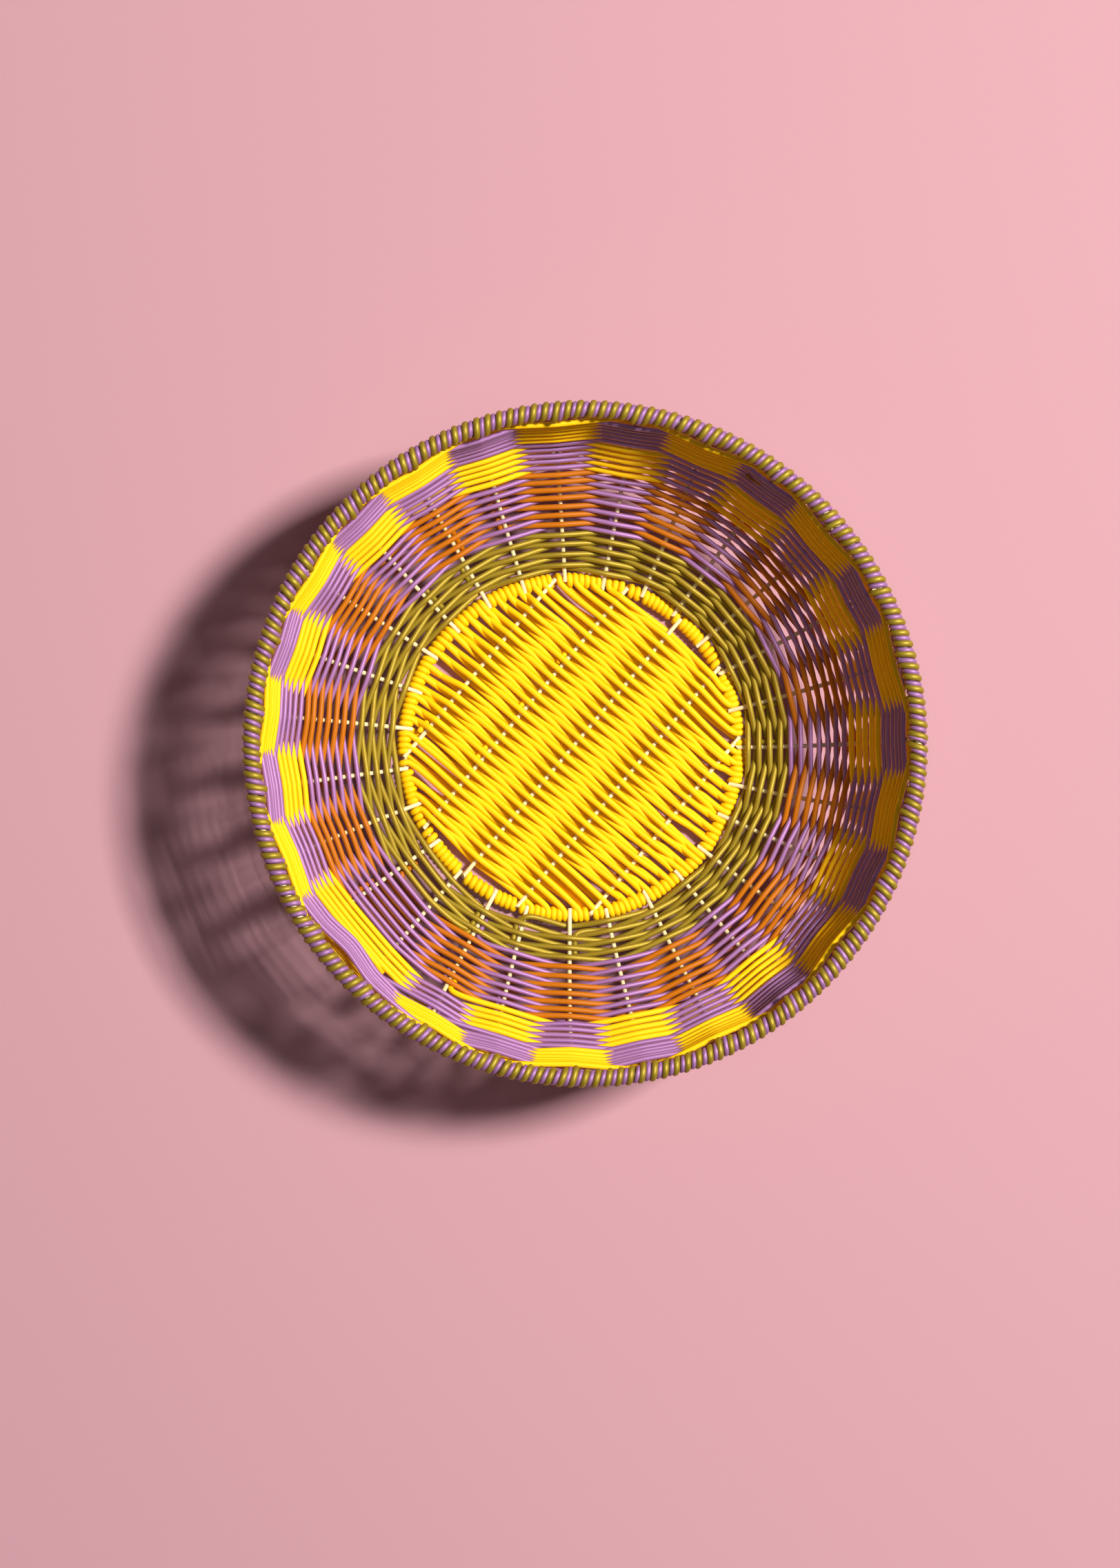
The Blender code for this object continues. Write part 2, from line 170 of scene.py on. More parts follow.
# Facets
CORD_SIDES = 10
WIRE_SIDES = 12
WRAP_SIDES = 9
TURN_STEPS = 16
BASE_RING_STEPS = 180
RIM_RING_STEPS = 240
ROD_STEPS = 24
RIB_STEPS = 44
SHARP_ANGLE = np.radians(55)

# How far apart a cord's points lie, and how long its bends are
CORD_STEP = 0.0021
BASE_CORD_STEP = 0.0019
WALL_BEND = 0.013
BASE_BEND = 0.008


def unit(vectors):
    """Each vector, divided by its own length."""
    return vectors / np.linalg.norm(vectors, axis=-1, keepdims=True)


def through(places, guides, spacing, bend):
    """A smooth line through places, and the guide direction at each of its points.

    Between two places it is a cubic whose slope at each end is the mean direction there, the nearer
    neighbour counting more, times the length of the span, or times the bend where that is less: a
    long span is straight but for its ends. Guides are mixed in proportion."""
    step = np.diff(places, axis=0)
    length = np.linalg.norm(step, axis=1)
    lean = step / length[:, None] ** 2
    slope = unit(np.vstack([lean[:1], lean[:-1] + lean[1:], lean[-1:]]))
    count = np.maximum(1, np.ceil(length / spacing)).astype(int)
    span = np.repeat(np.arange(len(count)), count)
    first = np.repeat(np.cumsum(count) - count, count)
    share = ((np.arange(count.sum()) - first) / count[span])[:, None]
    rise = share**2 * (3 - 2 * share)
    handle = np.minimum(length, bend)[span, None]
    leave = share * (1 - share) ** 2 * handle
    reach = share**2 * (share - 1) * handle
    line = (
        (1 - rise) * places[span]
        + rise * places[span + 1]
        + leave * slope[span]
        + reach * slope[span + 1]
    )
    mixed = (1 - share) * guides[span] + share * guides[span + 1]
    return np.vstack([line, places[-1:]]), np.vstack([mixed, guides[-1:]])


def tube(path, guides, diameter, sides, closed=False, end="domed", start_along=0.0):
    """A round tube along a path: at each point a circle in the plane square to the path.

    The circle starts at the guide direction. A domed end adds three shrinking circles, and a cut end
    tilts the last circle a little. It returns the grid of points, and for each point its place on
    the same cord laid straight along X, which the materials read."""
    path, guides = np.asarray(path), np.broadcast_to(guides, np.shape(path))
    radius = np.full(len(path), diameter / 2)
    if closed:
        tangent = unit(np.roll(path, -1, 0) - np.roll(path, 1, 0))
    else:
        tangent = unit(np.gradient(path, axis=0))
    if end == "domed" and not closed:
        turn = DOME_TURNS[:, None]
        reach = DOME_SHARE * radius[0] * np.sin(turn)
        path = np.vstack([path[0] - tangent[0] * reach[::-1], path, path[-1] + tangent[-1] * reach])
        guides = np.vstack([guides[:1].repeat(3, 0), guides, guides[-1:].repeat(3, 0)])
        tangent = np.vstack([tangent[:1].repeat(3, 0), tangent, tangent[-1:].repeat(3, 0)])
        shrink = np.cos(turn[:, 0])
        radius = np.concatenate([radius[0] * shrink[::-1], radius, radius[-1] * shrink])
    side = unit(guides - (guides * tangent).sum(1, keepdims=True) * tangent)
    over = np.cross(tangent, side)
    around = np.arange(sides) * TURN / sides
    across, above = np.cos(around)[:, None], np.sin(around)[:, None]
    grid = path[:, None] + radius[:, None, None] * (side[:, None] * across + over[:, None] * above)
    if end == "cut" and not closed:
        for ring, sign in ((0, -1), (-1, 1)):
            tilt = chance.uniform(*CUT_TILT_SHARES) * radius[ring]
            grid[ring] += sign * tilt * np.cos(around + chance.uniform(0, TURN))[:, None] * tangent[ring]
    along = np.concatenate([[0], np.cumsum(np.linalg.norm(np.diff(path, axis=0), axis=1))]) + start_along
    laid = np.stack(
        np.broadcast_arrays(along[:, None], radius[:, None] * across.T, radius[:, None] * above.T), axis=-1
    )
    return grid, laid, closed


def piece(name, tubes, material, nodes=()):
    """One object of one or more tubes, with quads between their circles and a face on each end."""
    points, laid_points, faces, first = [], [], [], 0
    for grid, laid, closed in tubes:
        rows, sides = grid.shape[:2]
        index = first + np.arange(rows * sides).reshape(rows, sides)
        after = np.roll(index, -1, 0) if closed else index[1:]
        before = index if closed else index[:-1]
        quads = np.stack([before, np.roll(before, -1, 1), np.roll(after, -1, 1), after], axis=-1)
        faces += quads.reshape(-1, 4).tolist()
        if not closed:
            faces += [index[0, ::-1].tolist(), index[-1].tolist()]
        points.append(grid.reshape(-1, 3))
        laid_points.append(laid.reshape(-1, 3))
        first += rows * sides
    mesh = bpy.data.meshes.new(name)
    mesh.from_pydata(np.concatenate(points).tolist(), [], faces)
    layer = mesh.attributes.new("laid_straight", "FLOAT_VECTOR", "POINT")
    layer.data.foreach_set("vector", np.concatenate(laid_points).astype(np.float32).ravel())
    mesh.shade_smooth()
    mesh.set_sharp_from_angle(angle=SHARP_ANGLE)
    mesh.materials.append(material)
    made = bpy.data.objects.new(name, mesh)
    bpy.context.scene.collection.objects.link(made)
    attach(made, "root")
    if nodes:
        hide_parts(*nodes)
    return made


def linear(code):
    """An sRGB hex colour as linear red, green, blue and 1."""
    value = np.array([int(code[at : at + 2], 16) for at in (1, 3, 5)]) / 255
    return (*np.where(value <= 0.04045, value / 12.92, ((value + 0.055) / 1.055) ** 2.4), 1)


def add(material, kind, inputs=None, **settings):
    """A node in a material, with its settings, and with its inputs set or linked."""
    node = material.node_tree.nodes.new(kind)
    for name, value in settings.items():
        setattr(node, name, value)
    for name, value in (inputs or {}).items():
        if isinstance(value, bpy.types.NodeSocket):
            material.node_tree.links.new(value, node.inputs[name])
        else:
            node.inputs[name].default_value = value
    return node


def blank(name):
    """A new material with its shader, and nothing else set."""
    material = bpy.data.materials.new(name)
    material.use_nodes = True
    return material, material.node_tree.nodes["Principled BSDF"]


def noise_along(material, stretch, size, detail):
    """A noise that follows a cord: its grains are size across, and stretch times as long."""
    laid = add(material, "ShaderNodeAttribute", attribute_name="laid_straight")
    squeezed = add(
        material,
        "ShaderNodeMapping",
        {"Vector": laid.outputs["Vector"], "Scale": (1 / stretch, 1, 1)},
    )
    return add(
        material,
        "ShaderNodeTexNoise",
        {"Vector": squeezed.outputs["Vector"], "Scale": 1 / size, "Detail": detail},
    )


def soft_pvc(name, light, deep, roughness, pearl):
    """Extruded soft PVC cord. It is satin and evenly dyed, with faint draw lines along it and a slow
    drift of tone. The pearl colours have a fine grain across the cord that breaks up their shine."""
    material, shader = blank(name)
    drift = noise_along(material, stretch=4, size=TONE_DRIFT, detail=2)
    tone = add(
        material,
        "ShaderNodeMix",
        {"Factor": drift.outputs["Fac"], "A": linear(deep), "B": linear(light)},
        data_type="RGBA",
    )
    material.node_tree.links.new(tone.outputs[2], shader.inputs["Base Color"])
    grain = noise_along(material, stretch=0.4, size=PEARL_GRAIN, detail=3)
    gloss = add(
        material,
        "ShaderNodeMapRange",
        {
            "Value": grain.outputs["Fac"],
            "To Min": roughness - 0.12 * pearl,
            "To Max": roughness + 0.16 * pearl,
        },
    )
    material.node_tree.links.new(gloss.outputs["Result"], shader.inputs["Roughness"])
    lines = noise_along(material, stretch=40, size=DRAW_LINE, detail=2)
    bump = add(
        material,
        "ShaderNodeBump",
        {"Height": lines.outputs["Fac"], "Strength": 0.25, "Distance": DRAW_LINE_DEPTH},
    )
    fine = add(
        material,
        "ShaderNodeBump",
        {
            "Height": grain.outputs["Fac"],
            "Normal": bump.outputs["Normal"],
            "Strength": 0.8 * pearl,
            "Distance": PEARL_DEPTH,
        },
    )
    material.node_tree.links.new(fine.outputs["Normal"], shader.inputs["Normal"])
    shader.inputs["Metallic"].default_value = 0.6 * pearl
    shader.inputs["Specular IOR Level"].default_value = 0.35 + 0.7 * pearl
    shader.inputs["IOR"].default_value = 1.42
    return material


def powder_coat():
    """Polyester powder coat on steel wire. It is an even satin cream with a fine orange peel."""
    material, shader = blank("cream powder coat on steel wire")
    peel = noise_along(material, stretch=1, size=COAT_PEEL, detail=2)
    bump = add(
        material,
        "ShaderNodeBump",
        {"Height": peel.outputs["Fac"], "Strength": 0.3, "Distance": COAT_PEEL_DEPTH},
    )
    drift = noise_along(material, stretch=2, size=COAT_DRIFT, detail=2)
    tone = add(
        material,
        "ShaderNodeMix",
        {"Factor": drift.outputs["Fac"], "A": linear("#E4D29A"), "B": linear("#F4E8BC")},
        data_type="RGBA",
    )
    material.node_tree.links.new(tone.outputs[2], shader.inputs["Base Color"])
    material.node_tree.links.new(bump.outputs["Normal"], shader.inputs["Normal"])
    shader.inputs["Roughness"].default_value = 0.42
    return material


CREAM = powder_coat()
YELLOW = soft_pvc("yellow soft PVC cord", "#FFD200", "#FFC400", 0.62, 0.0)
ORANGE = soft_pvc("orange soft PVC cord", "#C47200", "#B06000", 0.5, 0.0)
LILAC = soft_pvc("pearl lilac soft PVC cord", "#AE7EB6", "#92649E", 0.52, 0.5)
OLIVE = soft_pvc("pearl olive soft PVC cord", "#B29C28", "#927C14", 0.54, 0.8)
SINGED = soft_pvc("singed cord end", "#B07840", "#8A5A2C", 0.55, 0.0)


def on_wall(along, direction, sidestep=0.0):
    """Places on the wall. The slope grows evenly along it, from the ribs' feet, and a sidestep is
    square to the wall, into the bowl."""
    slope = FOOT_SLOPE + along / WALL_CURVE
    radius = BASE_RING_RADIUS + WALL_CURVE * (np.sin(slope) - np.sin(FOOT_SLOPE))
    height = RIB_FOOT_HEIGHT + WALL_CURVE * (np.cos(FOOT_SLOPE) - np.cos(slope))
    radius = radius - sidestep * np.sin(slope)
    height = height + sidestep * np.cos(slope)
    return np.stack(np.broadcast_arrays(radius * np.cos(direction), radius * np.sin(direction), height), -1)


def into_bowl(along, direction):
    """The direction square to the wall, into the bowl."""
    return on_wall(along, direction, 1.0) - on_wall(along, direction)


def corners(node):
    """The corners of a CAD node, one a row."""
    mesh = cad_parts[node].data
    found = np.empty(len(mesh.vertices) * 3)
    mesh.vertices.foreach_get("co", found)
    return found.reshape(-1, 3)


def end_of_rib(node, which):
    """The middle of a rib's lowest or highest end."""
    found = corners(node)
    height = found[:, 2]
    near = height < height.min() + RIB_WIRE if which == "foot" else height > height.max() - RIB_WIRE
    return found[near].mean(0)


rib_nodes = sorted(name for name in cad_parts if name.startswith("rib_"))
RIB_COUNT = len(rib_nodes)
rib_feet = np.array([end_of_rib(node, "foot") for node in rib_nodes])
rib_tops = np.array([end_of_rib(node, "top") for node in rib_nodes])
FOOT_DIRECTIONS = np.unwrap(np.arctan2(rib_feet[:, 1], rib_feet[:, 0]))
TOP_DIRECTIONS = np.unwrap(np.arctan2(rib_tops[:, 1], rib_tops[:, 0]))
RIB_STARTS = (np.hypot(rib_feet[:, 0], rib_feet[:, 1]) - BASE_RING_RADIUS) / np.cos(FOOT_SLOPE)
RIB_TOP_TIP = 0.0012


def rib_direction(rib, along):
    """The direction of a rib at a distance along the wall: it leans evenly from foot to top."""
    return FOOT_DIRECTIONS[rib] + (TOP_DIRECTIONS[rib] - FOOT_DIRECTIONS[rib]) * along / WALL_LENGTH


def ring_path(radius, height, steps):
    """Places evenly round a level circle, anticlockwise from +X."""
    turns = np.arange(steps) * TURN / steps
    return np.stack([radius * np.cos(turns), radius * np.sin(turns), np.full(steps, height)], -1)


def rod_offset(rod):
    """How far a rod lies to one side of the middle one."""
    return (rod - (ROD_COUNT - 1) / 2) * ROD_SPACING


def on_base(across, along, height):
    """Places on the base: across the rods, along them, and up."""
    cos, sin = np.cos(ROD_ANGLE), np.sin(ROD_ANGLE)
    x = along * cos + across * sin
    y = along * sin - across * cos
    return np.stack(np.broadcast_arrays(x, y, height), -1)


def make_frame():
    """The wires: both rings, the rods across the base ring, and the ribs, which lean a little."""
    ring = ring_path(BASE_RING_RADIUS, BASE_RING_HEIGHT, BASE_RING_STEPS)
    made = tube(ring, UP, BASE_RING_WIRE, WIRE_SIDES, closed=True)
    piece("base_ring_wire", [made], CREAM, ["base_ring"])
    ring = ring_path(RIM_RING_RADIUS, RIM_RING_HEIGHT, RIM_RING_STEPS)
    made = tube(ring, UP, RIM_RING_WIRE, WIRE_SIDES, closed=True)
    piece("rim_ring_wire", [made], CREAM, ["rim_ring"])
    for rod in range(ROD_COUNT):
        across = rod_offset(rod)
        reach = np.sqrt(BASE_RING_RADIUS**2 - across**2) + ROD_TIP
        path = on_base(across, np.linspace(-reach, reach, ROD_STEPS), ROD_HEIGHT)
        made = tube(path, UP, ROD_WIRE, WIRE_SIDES, end="cut", start_along=rod)
        piece(f"rod_wire_{rod + 1}", [made], CREAM, [f"base_rod_{rod + 1}"])
    for rib, node in enumerate(rib_nodes):
        along = np.linspace(RIB_STARTS[rib], WALL_LENGTH + RIB_TOP_TIP, RIB_STEPS)
        direction = rib_direction(rib, along)
        path = on_wall(along, direction)
        made = tube(path, into_bowl(along, direction), RIB_WIRE, WIRE_SIDES, end="cut", start_along=rib)
        piece(f"rib_wire_{rib + 1:02d}", [made], CREAM, [node])


def station(rib):
    """Ribs are counted once each, but the paired rib counts with the one before it."""
    return np.where(rib < PAIRED_RIB, rib, rib - 1)


def course_at(turns_below, step, phase):
    """Which course a cord has reached at a step: it lies level, but for one climb in each turn."""
    turn, ribs = np.divmod(step + FIRST_RIB - CLIMB_RIB, RIB_COUNT)
    climbed = turns_below + turn - 1 + np.minimum(ribs / CLIMB_RIBS, 1)
    return phase + 2 * np.maximum(climbed, 0)


def course_along(course):
    """How far along the wall a course lies: the lower ones lie a little wider apart."""
    share = course / TOP_COURSE
    share = share + SPREAD_SHARE * share * (1 - share)
    return WOVEN_START + (WOVEN_END - WOVEN_START) * share


def tucked(rib, aside, along, reach):
    """Three places of an end that is tucked up or down beside a rib, the last one next to its course."""
    along = along + reach * TUCKED_SHARES
    direction = rib_direction(rib, along) + aside / on_wall(along, 0.0)[:, 0]
    return on_wall(along, direction), into_bowl(along, direction)


def wall_cord(diameter, turns_below, turns, phase, late, early, start, end, slack=0.0):
    """A wall cord's tube: a place at each rib, before every other rib and behind the rest, each a
    little off its even spacing.

    It starts late ribs after the first one, and ends early ribs before the last. Start and end give
    the rib that each end is tucked beside, and how far from it. Slack is how far the courses hang
    off the wall between the two ribs that they pass together."""
    step = np.arange(late, turns * RIB_COUNT - early)
    rib = (FIRST_RIB + step) % RIB_COUNT
    before = np.where((station(rib) + phase) % 2 == 0, 1, -1)
    side = before * ((RIB_WIRE + diameter) / 2 + np.abs(chance.normal(0, SIDE_WANDER, len(step))))
    along = course_along(course_at(turns_below, step, phase))
    along = along + chance.normal(0, COURSE_WANDER, len(step))
    direction = rib_direction(rib, along)
    if slack:
        paired = np.flatnonzero(rib[1:] == PAIRED_RIB) + 1
        along = np.insert(along, paired, (along[paired - 1] + along[paired]) / 2 - slack / 2)
        side = np.insert(side, paired, (side[paired - 1] + side[paired]) / 2 + slack)
        direction = np.insert(direction, paired, (direction[paired - 1] + direction[paired]) / 2)
    reach = TUCKED_END if turns_below == 0 else -TUCKED_END
    lead, lead_guides = tucked(*start, along[0], reach)
    tail, tail_guides = tucked(*end, along[-1], -TUCKED_END)
    places = np.vstack([lead, on_wall(along, direction, side), tail[::-1]])
    guides = np.vstack([lead_guides, into_bowl(along, direction), tail_guides[::-1]])
    path, guides = through(places, guides, CORD_STEP, WALL_BEND)
    return tube(path, guides, diameter, CORD_SIDES, start_along=turns_below + phase / 2)


def make_wall_cords():
    """Four bands from the base up, two cords each.

    A cord's ends are tucked beside a rib. Each such place has the rib's number, counted from 0, and
    how far round from it the end lies, more than zero being anticlockwise seen from above."""
    before_16, after_16 = (16, -0.0025), (16, 0.0027)
    after_17 = (17, 0.0025)
    before_18, after_18 = (18, -0.0025), (18, 0.0023)
    before_19, after_20 = (19, -0.0025), (20, 0.0025)
    bands = (
        (
            4,
            ("olive_cord_a", OLIVE, OLIVE_CORD, 1, 0, before_19, before_18),
            ("olive_cord_b", OLIVE, OLIVE_CORD, 3, 0, after_20, before_18),
        ),
        (
            7,
            ("middle_lilac_cord", LILAC, LILAC_CORD, 1, 0, after_18, before_18),
            ("middle_orange_cord", ORANGE, ORANGE_CORD, -1, 2, after_16, before_16),
        ),
        (
            5,
            ("upper_yellow_cord", YELLOW, YELLOW_CORD, 1, 0, after_18, after_17),
            ("upper_lilac_cord", LILAC, LILAC_CORD, 1, 0, before_19, before_18),
        ),
        (
            6,
            ("top_lilac_cord", LILAC, LILAC_CORD, 1, 0, after_18, before_18, PAIR_SLACK),
            ("top_yellow_cord", YELLOW, YELLOW_CORD, 1, 0, before_19, before_18),
        ),
    )
    turns_below = 0
    for turns, *cords in bands:
        for phase, (node, material, diameter, *route) in enumerate(cords):
            made = wall_cord(diameter, turns_below, turns, phase, *route)
            piece(f"woven_{node}", [made], material, [node])
        turns_below += turns


def base_strokes():
    """The directions, in degrees, in which the base ring's turns pass over its top: as many as fit
    between each two wires that lie on the ring, spread evenly."""
    offsets = rod_offset(np.arange(ROD_COUNT))
    lean = np.degrees(np.arcsin(offsets / BASE_RING_RADIUS))
    rods = np.concatenate([np.degrees(ROD_ANGLE) - lean, np.degrees(ROD_ANGLE) + 180 + lean]) % 360
    wires = np.sort(np.concatenate([np.degrees(FOOT_DIRECTIONS) % 360, rods]))
    per_metre = np.degrees(1 / BASE_RING_RADIUS)
    strokes = []
    for wire, after in zip(wires, np.append(wires[1:], wires[0] + 360)):
        room = (after - wire) - RIB_WIRE * per_metre
        count = int(round(room / RING_STROKE - STROKE_SHORTFALL))
        if count > 0:
            shares = (np.arange(count) + 0.5) / count
            strokes.append(wire + RIB_WIRE * per_metre / 2 + shares * room)
    return np.sort(np.concatenate(strokes) % 360)


def ring_turns(strokes, lead, tail, sense):
    """The base cord round its ring, over the top at each stroke, in order.

    It starts the share lead of a turn before the first stroke and ends the share tail after the
    last. The sense is -1 where it comes over the top from inside to outside, and 1 the other way.
    Between strokes it moves along the ring mostly while it is below."""
    way = np.sign(sense) * -RING_STROKE if len(strokes) < 2 else strokes[1] - strokes[0]
    padded = np.concatenate([[strokes[0] - way], strokes, [strokes[-1] + way]])
    steps = int(round((len(strokes) - 1 + lead + tail) * TURN_STEPS))
    turns = np.linspace(-lead, len(strokes) - 1 + tail, steps + 1)
    whole = np.floor(turns).astype(int)
    share = turns - whole
    eased = share - 0.75 * np.sin(TURN * share) / TURN
    direction = np.radians(padded[whole + 1] * (1 - eased) + padded[whole + 2] * eased)
    dip = TURN * (0.25 + sense * turns)
    reach = BASE_WRAP_RADIUS - BASE_CORD / 2
    radius = BASE_RING_RADIUS + reach * np.cos(dip)
    height = BASE_RING_HEIGHT + reach * np.sin(dip)
    return np.stack([radius * np.cos(direction), radius * np.sin(direction), height], -1), direction


def row_end(row):
    """How far along the rods a row would meet the ring, and the angle of that place from theirs."""
    along = row * ROW_PITCH - ROW_BOW * (row / LAST_ROW) ** 3
    return along, np.degrees(np.arccos(along / (BASE_RING_RADIUS - BASE_WRAP_RADIUS)))


def row_places(row, ends):
    """A row's places at the rods, over every other one and under the rest. It is straight in the
    middle and bends towards its two ends on the ring, whose directions are given in degrees."""
    inside = BASE_RING_RADIUS - BASE_WRAP_RADIUS
    turned = np.radians(np.array(ends) - np.degrees(ROD_ANGLE))
    end_across, end_along = -inside * np.sin(turned), inside * np.cos(turned)
    rods = np.arange(ROD_COUNT)
    across = rod_offset(rods)
    reach = np.where(across < 0, -end_across.min(), end_across.max())
    kept = np.abs(across) < reach - ROW_CLEAR_OF_END
    rods, across, reach = rods[kept], across[kept], reach[kept]
    along_end = np.where(across < 0, end_along[np.argmin(end_across)], end_along[np.argmax(end_across)])
    middle = row * ROW_PITCH
    along = middle + (along_end - middle) * (np.abs(across) / reach) ** 3
    along = along + chance.normal(0, ROW_WANDER, len(rods))
    over = np.where((row + rods) % 2 == 0, 1, -1)
    places = on_base(across, along, ROD_HEIGHT + over * (ROD_WIRE + BASE_CORD) / 2)
    return places if end_across[0] < end_across[1] else places[::-1]


def long_strokes(found, rows, sense):
    """Which stroke each row's end goes on to. It is one to three after the last row's: the one that
    best keeps the row straight and its distance from the last row even."""
    chosen, last_target = [], 0.0
    for row in rows:
        target = np.degrees(ROD_ANGLE) + sense * row_end(row)[1]
        if chosen:
            options = chosen[-1] + np.arange(1, 4)
            gap = np.abs(found[options] - found[chosen[-1]])
            miss = np.abs(found[options] - target) + np.abs(gap - abs(target - last_target))
            chosen.append(int(options[np.argmin(miss)]))
        else:
            chosen.append(int(np.argmin(np.abs(found - target))))
        last_target = target
    return chosen


def make_base_cord():
    """The yellow base cord, one route: turns round the far end of the ring, then row after row with
    turns round the ring between them, then turns round the near end.

    A row that goes right lies over the ring at both ends, and a row that goes left lies under it."""
    ring = base_strokes()
    around = np.concatenate([ring - 360, ring, ring + 360])
    to_right = np.arange(-LAST_ROW, LAST_ROW + 1, 2)
    right, left = around, around[::-1]
    right_at = long_strokes(right, to_right, -1)
    left_at = long_strokes(left, to_right, 1)
    places, guides = [], []

    def turns(found, start, end, sense):
        """Turns round the ring, one over each found stroke from start up to end."""
        lead, tail = (OVER_SHARE, UNDER_SHARE) if sense < 0 else (UNDER_SHARE, OVER_SHARE)
        path, direction = ring_turns(found[start:end], lead, tail, sense)
        places.append(path)
        guides.append(-sense * np.stack([-np.sin(direction), np.cos(direction), 0 * direction], -1))

    def row(number, start, end):
        """One row across the rods, between two directions on the ring in degrees."""
        path = row_places(number, (start, end))
        places.append(path)
        guides.append(np.broadcast_to(on_base(0, 1, 0), path.shape))

    far_end = int(np.argmax(left < right[right_at[0]] + 360 - RING_STROKE / 2))
    turns(left, far_end, left_at[0] + 1, 1)
    for at, number in enumerate(to_right):
        row(number, left[left_at[at]], right[right_at[at]])
        if number == LAST_ROW:
            break
        turns(right, right_at[at], right_at[at + 1], -1)
        row(number + 1, right[right_at[at + 1]] - RING_STROKE / 2, left[left_at[at]] - RING_STROKE / 2)
        turns(left, left_at[at] + 1, left_at[at + 1] + 1, 1)
    near_end = int(np.argmax(right > left[left_at[-1]] - RING_STROKE / 2))
    turns(right, right_at[-1], near_end, -1)
    places, guides = np.concatenate(places), np.concatenate(guides)
    path, guide = through(places, guides, BASE_CORD_STEP, BASE_BEND)
    piece(
        "yellow_base_cord",
        [tube(path, guide, BASE_CORD, WRAP_SIDES)],
        YELLOW,
        ["base_weave", "base_ring_wrap"],
    )


def rim_cord(diameter, shift):
    """A cord wound round the rim ring, over the top from outside to inside as it goes round.

    The winding angle round the wire grows evenly with the direction round the bowl. At each rib the
    turns swell on the inside, to take in its tip."""
    turns = np.arange(RIM_TURNS * TURN_STEPS) / TURN_STEPS
    wander = np.repeat(chance.normal(0, RIM_WANDER, RIM_TURNS), TURN_STEPS)
    half = TURN_STEPS // 2
    window = 2 * half + 1
    wander = np.concatenate([wander[-half:], wander, wander[:half]])
    wander = np.convolve(wander, np.ones(window) / window, "valid")
    direction = (turns + shift + wander) * TURN / RIM_TURNS
    dip = TURN * turns
    reach = (RIM_RING_WIRE + diameter) / 2 - RIM_PRESS
    apart = (direction[:, None] - TOP_DIRECTIONS + np.pi) % TURN - np.pi
    swell = TIP_SWELL * np.exp(-((apart / TIP_WIDTH) ** 2)).max(1)
    inside = np.clip(np.cos(dip - TIP_SIDE), 0, 1) ** TIP_EASE
    reach = reach + swell * inside
    radius = RIM_RING_RADIUS + reach * np.cos(dip)
    height = RIM_RING_HEIGHT + reach * np.sin(dip)
    path = np.stack([radius * np.cos(direction), radius * np.sin(direction), height], -1)
    guides = np.stack([-np.sin(direction), np.cos(direction), 0 * direction], -1)
    return tube(path, guides, diameter, WRAP_SIDES, closed=True, start_along=shift)


def make_rim_cords():
    """The two cords of the rim, half a turn apart."""
    piece("lilac_rim_cord", [rim_cord(RIM_LILAC_CORD, 0.0)], LILAC, ["rim_wrap"])
    piece("olive_rim_cord", [rim_cord(RIM_OLIVE_CORD, 0.5)], OLIVE, ["rim_wrap"])


def beside_rib(rib, aside, low, high, sidestep=0.0):
    """A path beside a rib, from low to high along the wall."""
    along = np.linspace(low, high, max(2, int((high - low) / CORD_STEP) + 1))
    radius = on_wall(along, 0.0)[:, 0]
    direction = rib_direction(rib, along) + aside / radius
    return on_wall(along, direction, sidestep), into_bowl(along, direction)


def make_tails():
    """Ends of spliced cord, tucked beside a rib or a rod, held there by what crosses them.

    Each has its rib, how far round from it the end lies, and where it starts and ends along the wall.
    Those on the base have their rod, and where they start and end along it."""
    tails = (
        (
            OLIVE,
            "olive_cord",
            OLIVE_CORD,
            (
                (9, 0.0024, 0.0120, 0.0205),
                (10, -0.0024, 0.0095, 0.0230),
                (0, 0.0024, 0.0100, 0.0190),
                (1, -0.0024, 0.0110, 0.0200),
            ),
        ),
        (
            ORANGE,
            "orange_cord",
            ORANGE_CORD,
            ((16, -0.0025, 0.0390, 0.0480), (9, -0.0025, 0.0300, 0.0420), (8, 0.0025, 0.0300, 0.0360)),
        ),
        (LILAC, "lilac_cord", LILAC_CORD, ((6, 0.0023, 0.0290, 0.0350),)),
    )
    for material, slot, diameter, places in tails:
        made = [tube(*beside_rib(*place), diameter, CORD_SIDES, start_along=place[2]) for place in places]
        piece(f"{slot.split('_')[0]}_tails", made, material)
    made = []
    beside_rods = ((1, -0.034, -0.024), (1, -0.002, 0.003), (1, 0.026, 0.032), (0, -0.040, -0.035))
    for rod, low, high in beside_rods:
        path = on_base(rod_offset(rod) - ROD_ASIDE, np.linspace(low, high, 6), ROD_HEIGHT)
        made.append(tube(path, UP, YELLOW_CORD, CORD_SIDES, start_along=low))
    piece("yellow_tails", made, YELLOW)


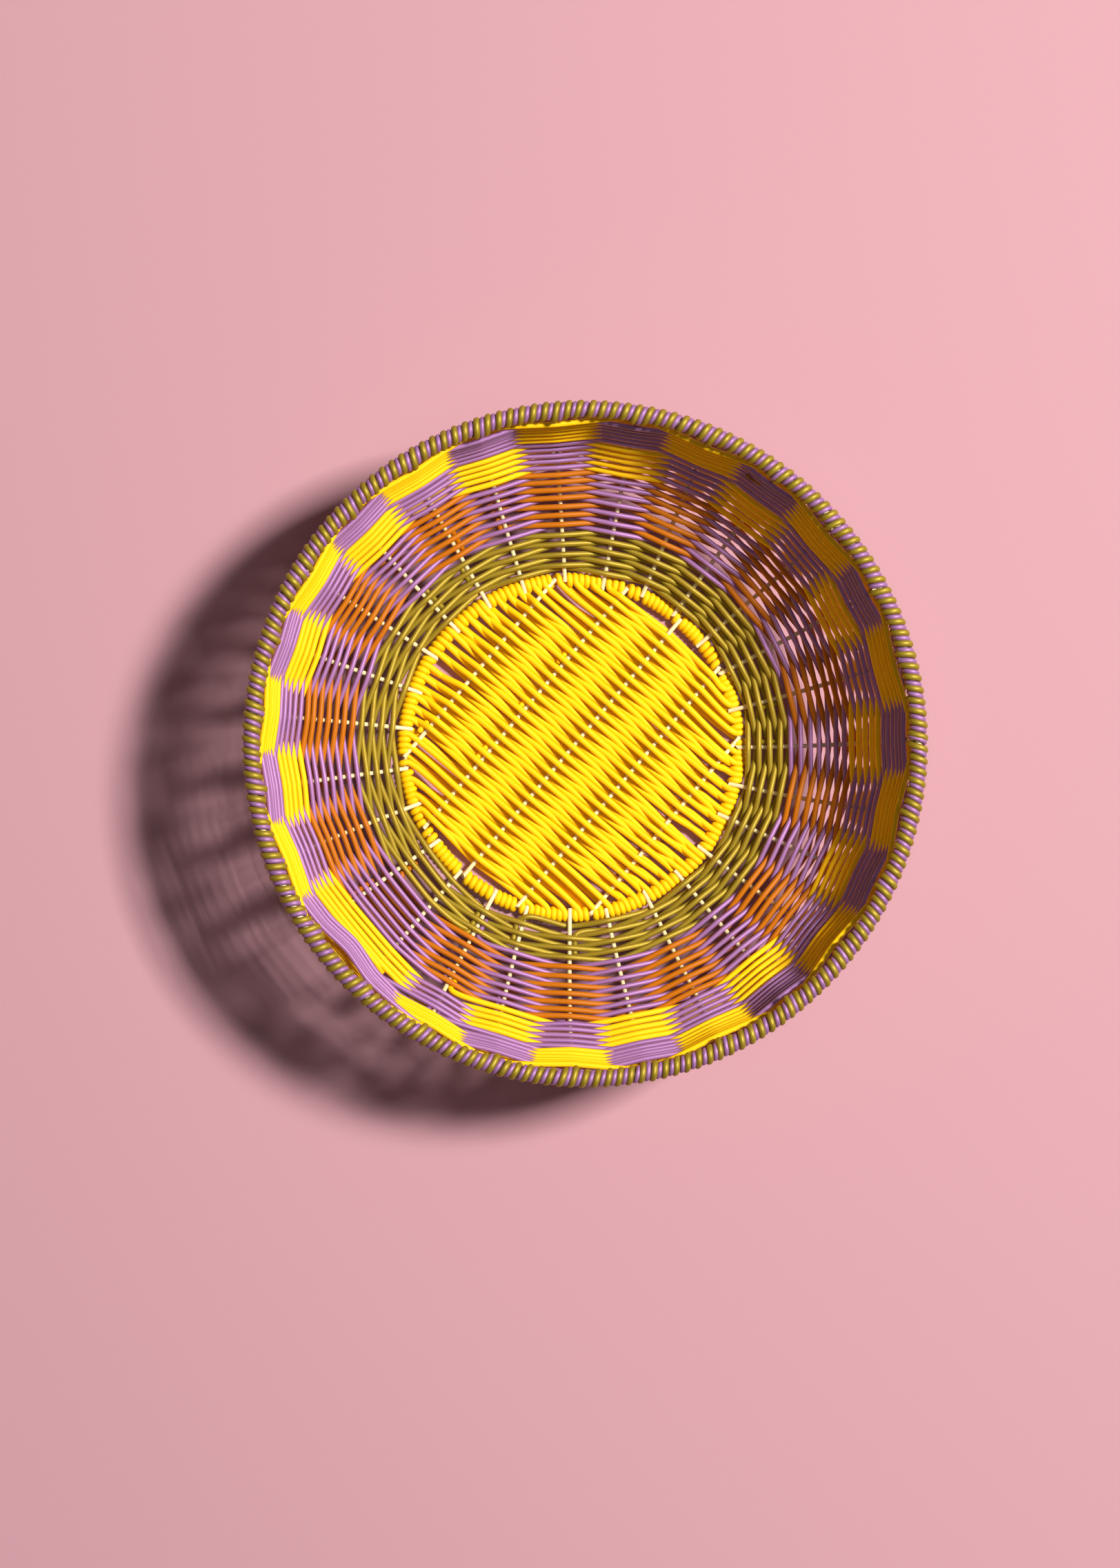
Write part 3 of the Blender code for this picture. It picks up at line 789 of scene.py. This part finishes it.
def make_singed_knot():
    """One end on the top lilac courses, knotted and melted into a small lump with a thin tail."""
    turns = np.linspace(0, KNOT_LOOPS * TURN, 40)
    direction = np.radians(KNOT_DIRECTION) + KNOT_HALF_WIDTH * np.cos(turns) / RIB_TOP_RADIUS
    along = KNOT_ALONG + KNOT_HALF_HEIGHT * np.sin(turns)
    lump = on_wall(along, direction, KNOT_LOW + KNOT_DEPTH * turns / turns[-1] - KNOT_SUNK)
    share = np.linspace(0.15, 1, 8)
    tail = on_wall(
        KNOT_ALONG - KNOT_TAIL_DROP * share,
        np.radians(KNOT_DIRECTION - KNOT_TAIL_TURN * share),
        KNOT_TAIL_HIGH - KNOT_TAIL_FALL * share,
    )
    path = np.vstack([lump, tail])
    made = tube(path, UP, KNOT_CORD, KNOT_SIDES)
    piece("singed_knot", [made], SINGED)


def make_stage():
    """A plain pale floor under the bowl."""
    material, shader = blank("pale matt floor")
    shader.inputs["Base Color"].default_value = linear("#BE909C")
    shader.inputs["Roughness"].default_value = 0.9
    mesh = bpy.data.meshes.new("floor")
    half = 3.0
    corner_places = [(-half, -half, 0), (half, -half, 0), (half, half, 0), (-half, half, 0)]
    mesh.from_pydata(corner_places, [], [(0, 1, 2, 3)])
    mesh.materials.append(material)
    floor = bpy.data.objects.new("floor", mesh)
    bpy.context.scene.collection.objects.link(floor)


def lamp(name, azimuth, elevation, distance, size, power, colour):
    """A square area lamp that faces the bowl, from a direction and a distance."""
    light = bpy.data.lights.new(name, "AREA")
    light.size = size
    light.energy = power
    light.color = linear(colour)[:3]
    made = bpy.data.objects.new(name, light)
    turn, rise = np.radians(azimuth), np.radians(elevation)
    made.location = (
        distance * np.cos(rise) * np.cos(turn),
        distance * np.cos(rise) * np.sin(turn),
        distance * np.sin(rise),
    )
    made.rotation_mode = "QUATERNION"
    made.rotation_quaternion = Vector(made.location).to_track_quat("Z", "Y")
    bpy.context.scene.collection.objects.link(made)


def make_light():
    """A key lamp on the right, a weak fill lamp from above, and a faint even light all round."""
    lamp("key lamp", azimuth=24, elevation=60, distance=3.2, size=0.5, power=166, colour="#FFF8F0")
    lamp("fill lamp", azimuth=212, elevation=86, distance=2.6, size=0.8, power=6, colour="#FFFFFF")
    world = bpy.data.worlds.new("studio")
    world.use_nodes = True
    background = world.node_tree.nodes["Background"]
    background.inputs["Color"].default_value = linear("#F4F2F0")
    background.inputs["Strength"].default_value = 0.02
    bpy.context.scene.world = world


def make_camera():
    """The camera stands almost over the bowl, where both of its circles fall as photographed."""
    data = bpy.data.cameras.new("camera")
    data.sensor_width = 36
    data.lens = 74.5
    camera = bpy.data.objects.new("camera", data)
    camera.location = (-0.1129, -0.0267, 1.5062)
    aim = Vector((-0.0117, -0.0176, 0.09)) - camera.location
    camera.rotation_mode = "QUATERNION"
    right = aim.cross(Vector((0, 1, 0))).normalized()
    top = right.cross(aim).normalized()
    camera.rotation_quaternion = Matrix((right, top, -aim.normalized())).transposed().to_quaternion()
    bpy.context.scene.collection.objects.link(camera)
    bpy.context.scene.camera = camera


make_frame()
make_wall_cords()
make_base_cord()
make_rim_cords()
make_tails()
make_singed_knot()
make_stage()
make_light()
make_camera()
bpy.context.scene.view_settings.view_transform = "Standard"
